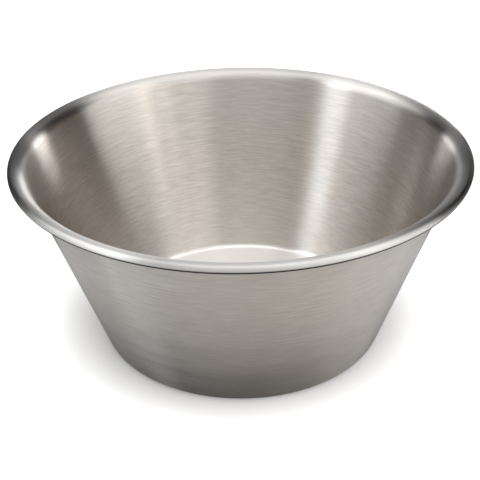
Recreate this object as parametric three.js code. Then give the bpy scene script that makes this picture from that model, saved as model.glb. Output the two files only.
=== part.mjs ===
// A conical steel bowl: one drawn sheet with a flat bottom, a straight flaring wall and a rounded lip
// whose edge is curled round a ring of steel wire. Millimetres, +Z up, the bottom's centre at the origin.
import * as THREE from "three";

// Driving dimensions of the bowl.
const RIM_DIAMETER = 300; // over the outside of the curled edge
const HEIGHT = 132; // from the table to the top of the lip
const BOTTOM_DIAMETER = 185.5; // the flat face that the bowl stands on
const SHEET = 0.8; // thickness of the stainless sheet
const FOOT_RADIUS = 5; // outside of the bend between the bottom and the wall
const LIP_RADIUS = 10; // upper side of the bend between the wall and the top of the lip

// The wired edge.
const WIRE_DIAMETER = 3;
const WIRE_CLEARANCE = 0.3; // between the wire and the inside of the curl
const EDGE_GAP = 0.5; // between the cut edge of the curl and the underside of the lip

// How finely the round shapes are cut.
const ROUND_STEPS = 72; // round the bowl
const FOOT_STEPS = 5;
const LIP_STEPS = 6;
const CURL_STEPS = 12;
const WIRE_SIDES = 12;

const BOWL_FINISH = { color: 0xc6bfb6, roughness: 0.36, metalness: 1 }; // brushed stainless steel
const WIRE_FINISH = { color: 0xa9a7a2, roughness: 0.45, metalness: 1 }; // plain drawn wire

const QUARTER_TURN = Math.PI / 2;

// Bend radii along the middle of the sheet.
const footBend = FOOT_RADIUS - SHEET / 2;
const lipBend = LIP_RADIUS - SHEET / 2;
const curlBend = WIRE_DIAMETER / 2 + WIRE_CLEARANCE + SHEET / 2;

// The lip and the curl meet at the top of the bowl, so their centres lie on one circle, one above the other.
// The wire shares the centre of the curl.
const rimCentreRadius = RIM_DIAMETER / 2 - SHEET / 2 - curlBend;
const lipCentreHeight = HEIGHT - SHEET / 2 - lipBend;
const curlCentreHeight = HEIGHT - SHEET / 2 - curlBend;

// Slope of the straight wall, which is the line that touches both the foot bend and the lip bend.
function wallSlope() {
  const across = rimCentreRadius - BOTTOM_DIAMETER / 2;
  const bends = footBend + lipBend;
  const up = HEIGHT - SHEET - bends;
  const length = Math.sqrt(across ** 2 + up ** 2 - bends ** 2);
  return Math.atan2(up, across) + Math.atan2(bends, length);
}

// Direction from the centre of the curl to its cut edge, which stops short of the underside of the lip.
function cutEdgeAngle() {
  const curlOuter = curlBend + SHEET / 2;
  const reach = lipBend - SHEET / 2 - EDGE_GAP;
  const apart = curlCentreHeight - lipCentreHeight;
  const rise = (reach ** 2 - curlOuter ** 2 - apart ** 2) / (2 * apart * curlOuter);
  return -Math.PI - Math.asin(rise);
}

// Points of an arc round a centre, from one angle to another, both ends included.
function arc(centreRadius, centreHeight, radius, from, to, steps) {
  return Array.from({ length: steps + 1 }, (_, step) => {
    const angle = THREE.MathUtils.lerp(from, to, step / steps);
    const along = centreRadius + radius * Math.cos(angle);
    const up = centreHeight + radius * Math.sin(angle);
    return new THREE.Vector2(along, up);
  });
}

// One face of the sheet, from the edge of the flat bottom to the cut edge of the curl. The side is +1 for
// the face inside the bowl, which goes on as the outside of the curl, and -1 for the other face.
function sheetFace(side) {
  const offset = (side * SHEET) / 2;
  const slope = wallSlope();
  const footEnd = slope - QUARTER_TURN;
  const lipStart = slope + QUARTER_TURN;
  const footCentreHeight = SHEET / 2 + footBend;
  const footRadius = footBend - offset;
  const lipRadius = lipBend + offset;
  const curlRadius = curlBend + offset;
  const foot = arc(BOTTOM_DIAMETER / 2, footCentreHeight, footRadius, -QUARTER_TURN, footEnd, FOOT_STEPS);
  const lip = arc(rimCentreRadius, lipCentreHeight, lipRadius, lipStart, QUARTER_TURN, LIP_STEPS);
  const curl = arc(rimCentreRadius, curlCentreHeight, curlRadius, QUARTER_TURN, cutEdgeAngle(), CURL_STEPS);
  return [...foot, ...lip, ...curl.slice(1)];
}

// A body turned from its section, which has radius along x and height along y, stood up along +Z.
function turned(name, section, finish) {
  const geometry = new THREE.LatheGeometry(section, ROUND_STEPS);
  const mesh = new THREE.Mesh(geometry, new THREE.MeshStandardMaterial(finish));
  mesh.name = name;
  mesh.rotation.x = QUARTER_TURN;
  return mesh;
}

// The drawn sheet, from the centre of the underside out to the cut edge and back along the inside.
function bowlShell() {
  const undersideCentre = new THREE.Vector2(0, 0);
  const insideCentre = new THREE.Vector2(0, SHEET);
  const section = [undersideCentre, ...sheetFace(-1), ...sheetFace(1).reverse(), insideCentre];
  return turned("bowl_shell", section, BOWL_FINISH);
}

// The ring of round wire that the edge is curled over.
function rimWire() {
  const section = arc(rimCentreRadius, curlCentreHeight, WIRE_DIAMETER / 2, 0, 2 * Math.PI, WIRE_SIDES);
  section[WIRE_SIDES].copy(section[0]);
  return turned("rim_wire", section, WIRE_FINISH);
}

const bowl = new THREE.Group();
bowl.add(bowlShell(), rimWire());

export default bowl;
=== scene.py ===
"""A conical bowl of brushed stainless steel with a wired, rolled rim, on a white studio floor."""
import math

import bpy
import numpy as np
from mathutils import Matrix, Vector


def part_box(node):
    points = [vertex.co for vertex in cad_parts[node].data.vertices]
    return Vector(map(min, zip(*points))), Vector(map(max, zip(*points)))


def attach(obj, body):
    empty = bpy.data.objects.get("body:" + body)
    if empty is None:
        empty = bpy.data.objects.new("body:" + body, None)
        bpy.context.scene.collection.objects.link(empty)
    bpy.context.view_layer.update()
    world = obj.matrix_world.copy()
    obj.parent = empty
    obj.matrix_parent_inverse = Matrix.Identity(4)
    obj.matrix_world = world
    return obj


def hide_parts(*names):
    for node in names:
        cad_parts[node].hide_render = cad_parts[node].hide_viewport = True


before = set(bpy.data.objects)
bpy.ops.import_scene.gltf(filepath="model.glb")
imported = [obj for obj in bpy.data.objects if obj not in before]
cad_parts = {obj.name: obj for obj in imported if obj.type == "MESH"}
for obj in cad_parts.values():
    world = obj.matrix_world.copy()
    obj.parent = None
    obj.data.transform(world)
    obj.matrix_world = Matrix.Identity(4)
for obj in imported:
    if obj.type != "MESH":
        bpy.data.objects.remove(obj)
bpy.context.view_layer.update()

MM = 0.001
QUARTER_TURN = math.pi / 2
FULL_TURN = 2 * math.pi

# Sizes of the bowl. The outline and the wire are read from the frame. Bends follow the middle of the sheet.
shell_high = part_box("bowl_shell")[1]
wire_low, wire_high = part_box("rim_wire")
RIM_RADIUS = shell_high.x
HEIGHT = shell_high.z
WIRE_RADIUS = (wire_high.z - wire_low.z) / 2
RIM_CENTRE_RADIUS = wire_high.x - WIRE_RADIUS
CURL_CENTRE_HEIGHT = (wire_high.z + wire_low.z) / 2
BOTTOM_RADIUS = 92.75 * MM
SHEET = 0.8 * MM
FOOT_BEND = 4.6 * MM
LIP_BEND = 9.6 * MM
EDGE_GAP = 0.5 * MM
CURL_BEND = RIM_RADIUS - RIM_CENTRE_RADIUS - SHEET / 2
LIP_CENTRE_HEIGHT = HEIGHT - SHEET / 2 - LIP_BEND

# How finely the round shapes are cut, and the degrees between two faces from which their edge is sharp.
ROUND_STEPS = 384
FLAT_STEPS = 6
FOOT_STEPS = 14
WALL_STEPS = 16
LIP_STEPS = 20
CURL_STEPS = 40
WIRE_STEPS = 20
SHARP_EDGE = 40

# Zones along the sheet, and where its finish and its painted light and shade change, from and to.
BOTTOM_ZONE = -1.0
WALL_START_ZONE = -0.5
WALL_END_ZONE = 0.0
LIP_TOP_ZONE = 1.0
CUT_EDGE_ZONE = 2.0
PAINTED_REFLECTION_BOTTOM = (-0.2, BOTTOM_ZONE)
GREY_RIM_AND_PAINTED_SHADE = (-0.3, LIP_TOP_ZONE)
DULL_RIM = (0.5, 1.1)
PAINTED_HIGHLIGHT_CURL = (LIP_TOP_ZONE, 1.1)
PAINTED_SHADE_UNDERSIDE = (1.31, 1.38)
# Cells of the brushing's noise in a radian round the bowl and in a metre up the sheet. The real grain is
# finer than a pixel, so its strokes are drawn 15 mm long and 0.9 mm wide. The bands are about 7 mm wide.
STROKE_CELLS = (8.0, 1100.0)
BAND_CELLS = (1.5, 140.0)

# The photo's camera: place in metres, angles in degrees.
CAMERA_PLACE = Vector((0.0, -0.594544, 0.406257))
CAMERA_PAN = -0.112
CAMERA_TILT = 30.071
CAMERA_ROLL = -0.960
CAMERA_LENS = 74.874
CAMERA_SENSOR = 36.0

# The studio. A radiance of 1 shows as white.
WORLD_LIGHT = 0.45
OVERHEAD_RADIANCE = 1.8
OVERHEAD_SIZE = 1.0
OVERHEAD_PLACE = (0.15, -0.15, 1.15)
# The floor: half its side, the middle of the shadow, and the distances from there over which it is lifted to
# white, and how far.
FLOOR_REACH = 12.0
SHADOW_CENTRE = (-0.002, 0.013, 0.0)
SHADOW_EDGE = (0.094, 0.131)
FLOOR_LIFT = 0.65
# Softboxes and boards that the steel mirrors: azimuth from +X and elevation, each from and to, the width of
# the soft edge of each, all in degrees, the radiance and how warm it is. What lies between them is dark.
STUDIO_RADIUS = 3.0
PANELS = {
    "ceiling": (-20, 380, 68, 100, 10, 6, 2.1, 0.0),
    "ceiling_back": (-15, 200, 52, 68, 10, 6, 2.1, 0.0),
    "back_high": (80, 100, 32, 52, 6, 4, 0.8, 0.0),
    "front_high": (228, 344, 40, 68, 13, 7, 0.88, -0.04),
    "camera_side": (196, 329, -10, 40, 23, 10, 0.75, 0.02),
    "right_softbox": (312, 369, -10, 50, 2, 14, 0.86, 0.0),
    "right_softbox_core": (326, 368, -10, 38, 2, 26, 1.15, 0.0),
    "warm_edge": (326, 331, -10, 50, 1, 6, 0.4, 0.3),
    "right_front_board": (293, 312, -10, 89, 19, 4, 0.58, 0.0),
    "left_strip": (200, 215.5, 22, 46, 4, 6, 3.6, -0.10),
    "left_board": (165, 196, -10, 40, 3, 10, 0.64, -0.06),
    "left_high": (131, 202, 35, 54, 27, 6, 2.6, -0.01),
}
# The floor as the steel mirrors it: distance from the axis in metres and radiance, then its height above the
# real floor, how finely it is cut, round in degrees, and the width of its soft edges along the distance.
FLOOR_RADIANCE = ((0.08, 0.05), (0.135, 0.13), (0.17, 0.95), (0.30, 0.75), (3.0, 0.7))
MIRRORED_FLOOR_HEIGHT = 0.2 * MM
FLOOR_RINGS = 60
FLOOR_TURN_STEP = 2.0
FLOOR_SOFT = 0.05
# The floor's warm side: azimuth from, to and soft edge in degrees, and how warm it is elsewhere and there.
FLOOR_WARM_SIDE = (255, 325, 60)
FLOOR_WARMTH = (-0.02, 0.03)
# Where the white sheet ends behind the bowl: azimuth from and to in degrees and the share of light lost,
# then the soft edge in degrees and the distance in metres from which the light is lost.
FLOOR_GAPS = ((102, 164, 0.85), (16, 74, 0.6))
FLOOR_GAP_SOFT = 8
FLOOR_GAP_START = 0.20
# Where the floor close to the bowl is lighter: middle azimuth and half width in degrees, distance from the
# axis, from and to in metres, and radiance, then the soft edge in degrees.
FLOOR_GLOWS = ((0, 45, 0.0, 0.15, 0.30), (188, 30, 0.0, 0.15, 0.14))
FLOOR_GLOW_SOFT = 50
# A card on the floor at the left: along X and along Y, each from, to and soft edge, in metres, and the share
# of light that it takes.
FLOOR_CARD_X = (-0.30, -0.05, 0.03)
FLOOR_CARD_Y = (-0.082, 0.10, 0.01)
FLOOR_CARD_LOSS = 0.18
# A streak of light on the floor, which draws a faint line down the outside: where it points from, its
# azimuth and half width in degrees, where it starts and ends and its height in metres, and its radiance.
STREAK_ORIGIN = (-0.066, -0.097, 0.0)
STREAK_AZIMUTH = 198.6
STREAK_HALF_WIDTH = 1.0
STREAK_REACH = (0.2, 2.5)
STREAK_HEIGHT = 0.4 * MM
STREAK_RADIANCE = 2.9
# A row of cards behind the bowl: place along X in metres and radiance, then their place along Y and their
# top.
BACK_CARDS = ((-0.18, 6.0), (-0.05, 3.6), (-0.045, 1.2), (0.145, 1.2), (0.15, 10.0), (0.29, 10.0))
BACK_CARDS_Y = 0.40
BACK_CARDS_TOP = 0.22


def linear(hex_colour):
    """Linear RGB of an sRGB colour written as six hex digits."""
    srgb = np.array([int(hex_colour[i:i + 2], 16) for i in (0, 2, 4)]) / 255
    low = srgb / 12.92
    high = ((srgb + 0.055) / 1.055) ** 2.4
    return tuple(np.where(srgb <= 0.04045, low, high).tolist()) + (1.0,)


# Sections of the bowl

def wall_slope():
    """Slope of the straight wall, the line that touches both the foot bend and the lip bend."""
    across = RIM_CENTRE_RADIUS - BOTTOM_RADIUS
    bends = FOOT_BEND + LIP_BEND
    up = HEIGHT - SHEET - bends
    length = math.sqrt(across ** 2 + up ** 2 - bends ** 2)
    return math.atan2(up, across) + math.atan2(bends, length)


def cut_edge_angle():
    """Direction from the curl's centre to its cut edge, which stops short of the underside of the lip."""
    curl_outer = CURL_BEND + SHEET / 2
    reach = LIP_BEND - SHEET / 2 - EDGE_GAP
    apart = CURL_CENTRE_HEIGHT - LIP_CENTRE_HEIGHT
    rise = (reach ** 2 - curl_outer ** 2 - apart ** 2) / (2 * apart * curl_outer)
    return -math.pi - math.asin(rise)


def arc(radius, height, bend, start, end, steps):
    """Points of an arc round (radius, height), both ends included, as rows of radius and height."""
    angle = np.linspace(start, end, steps + 1)
    return np.stack([radius + bend * np.cos(angle), height + bend * np.sin(angle)], axis=1)


def straight(start, end, steps):
    """Points of a straight line from start up to, but not including, end."""
    share = (np.arange(steps) / steps)[:, None]
    return start + (end - start) * share


def sheet_face(side):
    """One face of the sheet from the axis to the cut edge, and the zone of each point.

    The face follows the middle of the sheet at half its thickness: flat bottom, foot bend, straight wall,
    lip bend and curl. Side +1 is the inside of the bowl, which goes on as the outside of the curl.
    The zone stays the same over the flat bottom and changes evenly along each of the other stretches.
    """
    offset = side * SHEET / 2
    foot_end = wall_slope() - QUARTER_TURN
    lip_start = wall_slope() + QUARTER_TURN
    foot_height = SHEET / 2 + FOOT_BEND
    lip_bend = LIP_BEND + offset
    curl_bend = CURL_BEND + offset
    foot = arc(BOTTOM_RADIUS, foot_height, FOOT_BEND - offset, -QUARTER_TURN, foot_end, FOOT_STEPS)
    lip = arc(RIM_CENTRE_RADIUS, LIP_CENTRE_HEIGHT, lip_bend, lip_start, QUARTER_TURN, LIP_STEPS)
    curl = arc(RIM_CENTRE_RADIUS, CURL_CENTRE_HEIGHT, curl_bend, QUARTER_TURN, cut_edge_angle(), CURL_STEPS)
    flat = straight(np.array([0.0, foot[0, 1]]), foot[0], FLAT_STEPS)
    wall = straight(foot[-1], lip[0], WALL_STEPS)
    points = np.concatenate([flat, foot[:-1], wall, lip, curl[1:]])
    ends = np.cumsum([0, FLAT_STEPS, FOOT_STEPS, WALL_STEPS, LIP_STEPS, CURL_STEPS])
    zones = [BOTTOM_ZONE, BOTTOM_ZONE, WALL_START_ZONE, WALL_END_ZONE, LIP_TOP_ZONE, CUT_EDGE_ZONE]
    return points, np.interp(np.arange(len(points)), ends, zones)


def corner_uv(along, around):
    """UV of the corners of faces: U is the length along the section, V is the share of the turn."""
    return np.stack([along, around / ROUND_STEPS], axis=-1).reshape(-1, 2)


def pole_fan(pole, ring, pole_run, ring_run, forward):
    """Triangles from a pole to the ring of points that starts at the index ring, and their UV.

    Forward triangles follow the turn and backward ones go against it. Each has the pole at half its step.
    """
    turn = np.arange(ROUND_STEPS)
    ends = [turn, turn + 1] if forward else [turn + 1, turn]
    around = np.stack([turn + 0.5] + ends, axis=1)
    along = np.broadcast_to([pole_run, ring_run, ring_run], around.shape)
    faces = np.stack([np.full(ROUND_STEPS, pole)] + [ring + end % ROUND_STEPS for end in ends], axis=1)
    return faces.tolist(), corner_uv(along, around)


def turned(name, section, zone, open_ends):
    """A section turned about the Z axis.

    Point (i, j) is section point i at the angle j / ROUND_STEPS of a turn. With open ends, the section
    starts and ends on the axis and closes there in two fans of triangles; otherwise it is a closed loop.
    """
    angle = np.arange(ROUND_STEPS) * FULL_TURN / ROUND_STEPS
    lengths = np.linalg.norm(np.diff(section, axis=0, append=section[:1]), axis=1)
    run = np.concatenate([[0.0], np.cumsum(lengths)])
    off_axis = slice(1, -1) if open_ends else slice(None)
    rings = section[off_axis]
    ring_run = run[1:] if open_ends else run
    zones = np.repeat(zone[off_axis], ROUND_STEPS)
    points = np.stack([
        np.outer(rings[:, 0], np.cos(angle)),
        np.outer(rings[:, 0], np.sin(angle)),
        np.repeat(rings[:, 1:], ROUND_STEPS, axis=1),
    ], axis=2).reshape(-1, 3)
    count = len(rings)
    bands = count - 1 if open_ends else count
    ring, turn = np.meshgrid(np.arange(bands), np.arange(ROUND_STEPS), indexing="ij")
    this_ring = ring * ROUND_STEPS
    next_ring = (ring + 1) % count * ROUND_STEPS
    next_turn = (turn + 1) % ROUND_STEPS
    quads = np.stack([
        this_ring + turn,
        this_ring + next_turn,
        next_ring + next_turn,
        next_ring + turn,
    ], axis=2)
    faces = quads.reshape(-1, 4).tolist()
    this_run = ring_run[ring]
    next_run = ring_run[ring + 1]
    along = np.stack([this_run, this_run, next_run, next_run], axis=2)
    around = np.stack([turn, turn + 1, turn + 1, turn], axis=2)
    uv = corner_uv(along, around)
    if open_ends:
        start_pole = len(points)
        end_pole = start_pole + 1
        last_ring = start_pole - ROUND_STEPS
        start_faces, start_uv = pole_fan(start_pole, 0, run[0], run[1], forward=False)
        end_faces, end_uv = pole_fan(end_pole, last_ring, run[count + 1], run[count], forward=True)
        faces += start_faces + end_faces
        uv = np.concatenate([uv, start_uv, end_uv])
        points = np.concatenate([points, [[0, 0, section[0, 1]], [0, 0, section[-1, 1]]]])
        zones = np.concatenate([zones, zone[[0, -1]]])
    mesh = bpy.data.meshes.new(name)
    mesh.from_pydata(points.tolist(), [], faces)
    mesh.polygons.foreach_set("use_smooth", np.ones(len(faces), bool))
    mesh.uv_layers.new(name="section").data.foreach_set("uv", uv.ravel().astype(np.float32))
    mesh.attributes.new("zone", "FLOAT", "POINT").data.foreach_set("value", zones.astype(np.float32))
    mesh.set_sharp_from_angle(angle=math.radians(SHARP_EDGE))
    piece = bpy.data.objects.new(name, mesh)
    bpy.context.scene.collection.objects.link(piece)
    return piece


# Materials

def add_node(tree, kind, links=None, **settings):
    """Adds a node: settings name its properties, links give its inputs a value or another node's output."""
    node = tree.nodes.new(kind)
    for name, value in settings.items():
        setattr(node, name, value)
    for key, value in (links or {}).items():
        if isinstance(value, bpy.types.NodeSocket):
            tree.links.new(value, node.inputs[key])
        else:
            node.inputs[key].default_value = value
    return node


def number_math(tree, operation, first, second, **settings):
    """One number worked out from two."""
    links = {0: first, 1: second}
    return add_node(tree, "ShaderNodeMath", links, operation=operation, **settings).outputs[0]


def vector_math(tree, operation, *vectors):
    """A node that works on one or two vectors."""
    return add_node(tree, "ShaderNodeVectorMath", dict(enumerate(vectors)), operation=operation)


def scaled(tree, vector, scale):
    """A vector times a number."""
    return add_node(tree, "ShaderNodeVectorMath", {0: vector, "Scale": scale}, operation="SCALE").outputs[0]


def carried(tree, value, span, start=0.0, end=1.0):
    """A number carried from a span, from and to, to the range from start to end, and held at its ends."""
    links = {"Value": value, "From Min": span[0], "From Max": span[1], "To Min": start, "To Max": end}
    return add_node(tree, "ShaderNodeMapRange", links).outputs[0]


def mixed(tree, share, first, second):
    """A colour mixed from two, by the share of the second."""
    links = {"Factor": share, "A": first, "B": second}
    return add_node(tree, "ShaderNodeMix", links, data_type="RGBA").outputs["Result"]


def brushing(tree, outwards, upright, cells, detail, roughness):
    """Noise drawn out round the bowl: cells in a radian round it and in a metre up the sheet."""
    place = vector_math(tree, "ADD", scaled(tree, outwards, cells[0]), scaled(tree, upright, cells[1]))
    links = {"Vector": place.outputs[0], "Scale": 1.0, "Detail": detail, "Roughness": roughness}
    return add_node(tree, "ShaderNodeTexNoise", links).outputs["Fac"]


def shown_white(tree):
    """1 for what the camera sees straight, mirrored or through something, 0 for what lights the scene."""
    path = add_node(tree, "ShaderNodeLightPath").outputs
    seen = number_math(tree, "ADD", path["Is Camera Ray"], path["Is Glossy Ray"])
    return number_math(tree, "ADD", seen, path["Is Transmission Ray"], use_clamp=True)


def new_material(name):
    """An empty node material and its tree."""
    material = bpy.data.materials.new(name)
    material.use_nodes = True
    material.node_tree.nodes.clear()
    return material, material.node_tree


def brushed_stainless_sheet():
    """Sheet brushed round the bowl: highlights drawn out up the wall, a duller, more even rim, and painted
    light and shade.
    """
    material, tree = new_material("stainless sheet, satin-brushed")
    place = add_node(tree, "ShaderNodeTexCoord").outputs["Object"]
    level_place = vector_math(tree, "MULTIPLY", place, (1, 1, 0)).outputs[0]
    outwards = vector_math(tree, "NORMALIZE", level_place).outputs[0]
    section_uv = add_node(tree, "ShaderNodeUVMap", uv_map="section").outputs[0]
    run = add_node(tree, "ShaderNodeSeparateXYZ", {0: section_uv}).outputs["X"]
    upright = add_node(tree, "ShaderNodeCombineXYZ", {"Z": run}).outputs[0]
    zone = add_node(tree, "ShaderNodeAttribute", attribute_name="zone").outputs["Fac"]
    stroke = brushing(tree, outwards, upright, STROKE_CELLS, detail=3.0, roughness=0.6)
    # The strokes are plainer inside the bowl, where the surface faces the axis.
    normal = add_node(tree, "ShaderNodeNewGeometry").outputs["Normal"]
    facing = vector_math(tree, "DOT_PRODUCT", outwards, normal).outputs["Value"]
    spread = carried(tree, facing, (-0.2, 0.2), 0.38, 0.48)
    darkest = number_math(tree, "SUBTRACT", 0.5, spread)
    lightest = number_math(tree, "ADD", 0.5, spread)
    grain = carried(tree, stroke, (darkest, lightest))
    colour = mixed(tree, grain, linear("A8A19A"), linear("E0D9D2"))
    # The bottom is painted paler, a painted reflection that brightens it, which fades out up the wall.
    painted_reflection = carried(tree, zone, PAINTED_REFLECTION_BOTTOM, 0.0, 0.8)
    colour = mixed(tree, painted_reflection, colour, linear("F0EEEB"))
    # The rim is a colder, more even grey, and its darker grey is also painted shade that dims its
    # reflections.
    # The curl is painted paler, a painted highlight. Its underside is painted dark, painted shade that draws
    # a dark line below it.
    colour = mixed(tree, carried(tree, zone, GREY_RIM_AND_PAINTED_SHADE), colour, linear("BCBAB8"))
    colour = mixed(tree, carried(tree, zone, PAINTED_HIGHLIGHT_CURL), colour, linear("DEDCD8"))
    colour = mixed(tree, carried(tree, zone, PAINTED_SHADE_UNDERSIDE), colour, linear("262423"))
    # The sheet is a little rougher in bands, where the brush pressed harder, and dullest on the rim.
    band = brushing(tree, outwards, upright, BAND_CELLS, detail=2.0, roughness=0.5)
    rough = carried(tree, band, (0.3, 0.7), 0.30, 0.33)
    rough = carried(tree, zone, DULL_RIM, rough, 0.44)
    bump = add_node(tree, "ShaderNodeBump", {"Strength": 0.4, "Distance": 0.00008, "Height": stroke})
    meridian = add_node(tree, "ShaderNodeTangent", direction_type="UV_MAP", uv_map="section")
    steel = add_node(tree, "ShaderNodeBsdfPrincipled", {
        "Base Color": colour,
        "Metallic": 1.0,
        "Roughness": rough,
        "Anisotropic": 1.0,
        "Normal": bump.outputs[0],
        "Tangent": meridian.outputs[0],
    })
    add_node(tree, "ShaderNodeOutputMaterial", {"Surface": steel.outputs[0]})
    return material


def drawn_wire_steel():
    """Plain drawn wire: dull grey steel with a faint, fine mottle."""
    material, tree = new_material("steel wire, drawn")
    place = add_node(tree, "ShaderNodeTexCoord").outputs["Object"]
    mottle = add_node(tree, "ShaderNodeTexNoise", {"Vector": place, "Scale": 900.0, "Detail": 2.0})
    colour = mixed(tree, mottle.outputs["Fac"], linear("96938E"), linear("ADAAA5"))
    links = {"Base Color": colour, "Metallic": 1.0, "Roughness": 0.42}
    steel = add_node(tree, "ShaderNodeBsdfPrincipled", links)
    add_node(tree, "ShaderNodeOutputMaterial", {"Surface": steel.outputs[0]})
    return material


# The pieces

def make_bowl():
    """The drawn sheet, from the middle of the underside out to the cut edge and back along the inside."""
    outside, outside_zone = sheet_face(-1)
    inside, inside_zone = sheet_face(1)
    section = np.concatenate([outside, inside[::-1]])
    zone = np.concatenate([outside_zone, inside_zone[::-1]])
    bowl = turned("drawn_bowl", section, zone, open_ends=True)
    bowl.data.materials.append(brushed_stainless_sheet())
    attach(bowl, "root")
    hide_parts("bowl_shell")


def make_wire():
    """The round wire inside the curl: a circle turned about the axis."""
    circle = arc(RIM_CENTRE_RADIUS, CURL_CENTRE_HEIGHT, WIRE_RADIUS, 0, FULL_TURN, WIRE_STEPS)[:-1]
    ring = turned("wire_ring", circle, np.zeros(WIRE_STEPS), open_ends=False)
    ring.data.materials.append(drawn_wire_steel())
    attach(ring, "root")
    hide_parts("rim_wire")


# The studio

def make_floor():
    """A white floor that glows white beyond a ring round the bowl: a painted edge to the shadow round its
    foot.
    """
    material, tree = new_material("white studio floor")
    place = add_node(tree, "ShaderNodeTexCoord").outputs["Object"]
    apart = vector_math(tree, "DISTANCE", place, SHADOW_CENTRE).outputs["Value"]
    lift = carried(tree, apart, SHADOW_EDGE, 0.0, FLOOR_LIFT)
    glow = number_math(tree, "MULTIPLY", lift, shown_white(tree))
    light = add_node(tree, "ShaderNodeEmission", {"Color": (1, 1, 1, 1), "Strength": glow})
    paint = add_node(tree, "ShaderNodeBsdfDiffuse", {"Color": linear("F4F4F4")})
    both = add_node(tree, "ShaderNodeAddShader", {0: paint.outputs[0], 1: light.outputs[0]})
    add_node(tree, "ShaderNodeOutputMaterial", {"Surface": both.outputs[0]})
    corners = [(x * FLOOR_REACH, y * FLOOR_REACH, 0) for x, y in ((-1, -1), (1, -1), (1, 1), (-1, 1))]
    mesh = bpy.data.meshes.new("floor")
    mesh.from_pydata(corners, [], [(0, 1, 2, 3)])
    mesh.materials.append(material)
    floor = bpy.data.objects.new("floor", mesh)
    bpy.context.scene.collection.objects.link(floor)


def soft_step(value, low, high, soft):
    """1 between low and high, falling smoothly to 0 over an edge of the given width."""
    rise = np.clip((value - low) / soft + 0.5, 0, 1)
    fall = np.clip((high - value) / soft + 0.5, 0, 1)
    return rise ** 2 * (3 - 2 * rise) * fall ** 2 * (3 - 2 * fall)


def wrapped(angle):
    """An angle in degrees, brought between -180 and 180."""
    return (angle + 180) % 360 - 180


def warm_white(warmth):
    """White with more red and less blue by the given share."""
    return np.stack([1 + warmth, np.ones_like(warmth), 1 - warmth], axis=-1)


def panel_radiance(azimuth, elevation):
    """Radiance of the panels in a direction, in degrees."""
    total = np.zeros(azimuth.shape + (3,))
    for start, end, low, high, soft_across, soft_up, radiance, warmth in PANELS.values():
        middle = (start + end) / 2
        across = soft_step(wrapped(azimuth - middle), start - middle, end - middle, soft_across)
        shape = across * soft_step(elevation, low, high, soft_up)
        total += radiance * shape[..., None] * warm_white(warmth)
    return total


def floor_radiance(azimuth, distance):
    """Radiance of the floor at an azimuth in degrees and a distance from the axis."""
    stops = np.array(FLOOR_RADIANCE)
    level = np.interp(distance, stops[:, 0], stops[:, 1])
    outside = soft_step(distance, FLOOR_GAP_START, 2 * STUDIO_RADIUS, FLOOR_SOFT)
    for start, end, loss in FLOOR_GAPS:
        level = level * (1 - loss * outside * soft_step(azimuth, start, end, FLOOR_GAP_SOFT))
    for middle, half, near, far, glow in FLOOR_GLOWS:
        across = soft_step(wrapped(azimuth - middle), -half, half, FLOOR_GLOW_SOFT)
        level = level + glow * across * soft_step(distance, near, far, FLOOR_SOFT)
    turn = np.radians(azimuth)
    card_x = soft_step(distance * np.cos(turn), *FLOOR_CARD_X)
    card_y = soft_step(distance * np.sin(turn), *FLOOR_CARD_Y)
    level = level * (1 - FLOOR_CARD_LOSS * card_x * card_y)
    elsewhere, there = FLOOR_WARMTH
    warmth = elsewhere + (there - elsewhere) * soft_step(azimuth, *FLOOR_WARM_SIDE)
    return level[..., None] * warm_white(warmth)


def mirrored_stage(name, points, radiance, material, closed=True):
    """Quads over a grid of points that only reflections show.

    A closed grid joins its last row to its first.
    """
    rows, columns = radiance.shape[:2]
    bands = rows if closed else rows - 1
    row, column = np.meshgrid(np.arange(bands), np.arange(columns - 1), indexing="ij")
    this_row = row * columns + column
    next_row = (row + 1) % rows * columns + column
    quads = np.stack([this_row, next_row, next_row + 1, this_row + 1], axis=2)
    mesh = bpy.data.meshes.new(name)
    mesh.from_pydata(points.reshape(-1, 3).tolist(), [], quads.reshape(-1, 4).tolist())
    glow = np.concatenate([radiance, np.ones((rows, columns, 1))], axis=2).ravel().astype(np.float32)
    mesh.attributes.new("radiance", "FLOAT_COLOR", "POINT").data.foreach_set("color", glow)
    mesh.materials.append(material)
    sheet = bpy.data.objects.new(name, mesh)
    sheet.visible_camera = False
    sheet.visible_diffuse = False
    sheet.visible_shadow = False
    bpy.context.scene.collection.objects.link(sheet)


def level_points(azimuth, distance, height):
    """Points at an azimuth in degrees and a distance from the axis, all at one height."""
    turn = np.radians(azimuth)
    up = np.full_like(distance, height)
    return np.stack([distance * np.cos(turn), distance * np.sin(turn), up], axis=2)


def make_dome(material):
    """The panels: a half sphere in steps of a degree."""
    azimuth, elevation = np.meshgrid(np.arange(360.0), np.arange(0.0, 91.0), indexing="ij")
    turn = np.radians(azimuth)
    up = np.radians(elevation)
    dome = np.stack([np.cos(up) * np.cos(turn), np.cos(up) * np.sin(turn), np.sin(up)], axis=2)
    mirrored_stage("studio_dome", STUDIO_RADIUS * dome, panel_radiance(azimuth, elevation), material)


def make_mirrored_floor(material):
    """The floor round the bowl: rings just above the real floor, closer together near the bowl."""
    distances = np.geomspace(FLOOR_RADIANCE[0][0], FLOOR_RADIANCE[-1][0], FLOOR_RINGS)
    azimuth, distance = np.meshgrid(np.arange(0.0, 360.0, FLOOR_TURN_STEP), distances, indexing="ij")
    ground = level_points(azimuth, distance, MIRRORED_FLOOR_HEIGHT)
    mirrored_stage("mirrored_floor", ground, floor_radiance(azimuth, distance), material)


def make_streak(material):
    """The streak of light on the floor: a narrow wedge that points at its origin."""
    sides = (STREAK_AZIMUTH - STREAK_HALF_WIDTH, STREAK_AZIMUTH + STREAK_HALF_WIDTH)
    azimuth, distance = np.meshgrid(sides, STREAK_REACH, indexing="ij")
    wedge = np.array(STREAK_ORIGIN) + level_points(azimuth, distance, STREAK_HEIGHT)
    mirrored_stage("floor_streak", wedge, np.full(wedge.shape, STREAK_RADIANCE), material, closed=False)


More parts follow.
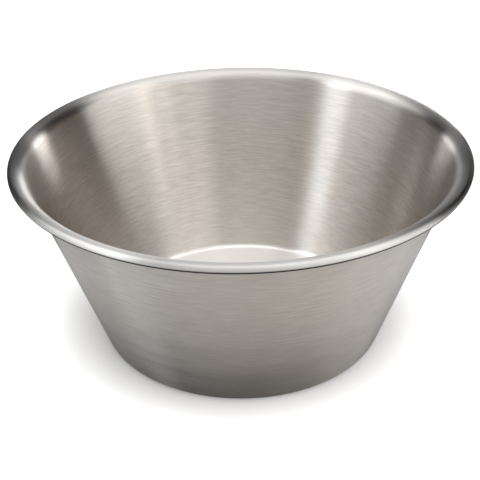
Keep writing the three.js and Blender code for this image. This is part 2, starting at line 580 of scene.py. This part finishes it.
def make_back_cards(material):
    """The cards behind the bowl: an upright strip whose radiance runs evenly from each place to the next."""
    places, levels = np.array(BACK_CARDS).T
    across, up = np.meshgrid(places, [0.0, BACK_CARDS_TOP], indexing="ij")
    cards = np.stack([across, np.full_like(across, BACK_CARDS_Y), up], axis=2)
    glow = np.broadcast_to(levels[:, None, None], cards.shape)
    mirrored_stage("back_cards", cards, glow, material, closed=False)


def make_studio():
    """What the steel mirrors: panels, floor, the streak of light on it and the cards behind the bowl."""
    material, tree = new_material("softboxes and boards")
    radiance = add_node(tree, "ShaderNodeAttribute", attribute_name="radiance").outputs["Color"]
    light = add_node(tree, "ShaderNodeEmission", {"Color": radiance, "Strength": 1.0})
    add_node(tree, "ShaderNodeOutputMaterial", {"Surface": light.outputs[0]})
    make_dome(material)
    make_mirrored_floor(material)
    make_streak(material)
    make_back_cards(material)


def make_lights():
    """A soft overhead panel and an even white surround."""
    lamp = bpy.data.lights.new("overhead_panel", "AREA")
    lamp.shape = "SQUARE"
    lamp.size = OVERHEAD_SIZE
    lamp.energy = OVERHEAD_RADIANCE * math.pi * OVERHEAD_SIZE ** 2
    panel = bpy.data.objects.new("overhead_panel", lamp)
    panel.location = OVERHEAD_PLACE
    panel.visible_glossy = False
    bpy.context.scene.collection.objects.link(panel)
    world = bpy.data.worlds.new("white surround")
    world.use_nodes = True
    tree = world.node_tree
    tree.nodes.clear()
    links = {"Factor": shown_white(tree), "A": WORLD_LIGHT, "B": 1.0}
    strength = add_node(tree, "ShaderNodeMix", links, data_type="FLOAT").outputs["Result"]
    light = add_node(tree, "ShaderNodeBackground", {"Color": (1, 1, 1, 1), "Strength": strength})
    add_node(tree, "ShaderNodeOutputWorld", {"Surface": light.outputs[0]})
    bpy.context.scene.world = world


def make_camera():
    """The camera that took the photo, from its place, pan, tilt, roll and lens."""
    pan, tilt, roll = (math.radians(v) for v in (CAMERA_PAN, CAMERA_TILT, CAMERA_ROLL))
    ahead = Vector((math.sin(pan) * math.cos(tilt), math.cos(pan) * math.cos(tilt), -math.sin(tilt)))
    level = ahead.cross(Vector((0, 0, 1))).normalized()
    upward = level.cross(ahead)
    right = level * math.cos(roll) + upward * math.sin(roll)
    top = upward * math.cos(roll) - level * math.sin(roll)
    lens = bpy.data.cameras.new("photo_camera")
    lens.lens = CAMERA_LENS
    lens.sensor_width = CAMERA_SENSOR
    camera = bpy.data.objects.new("photo_camera", lens)
    turn = Matrix((right, top, -ahead)).transposed().to_4x4()
    camera.matrix_world = Matrix.Translation(CAMERA_PLACE) @ turn
    bpy.context.scene.collection.objects.link(camera)
    bpy.context.scene.camera = camera


make_bowl()
make_wire()
make_floor()
make_studio()
make_lights()
make_camera()
bpy.context.scene.view_settings.view_transform = "Standard"
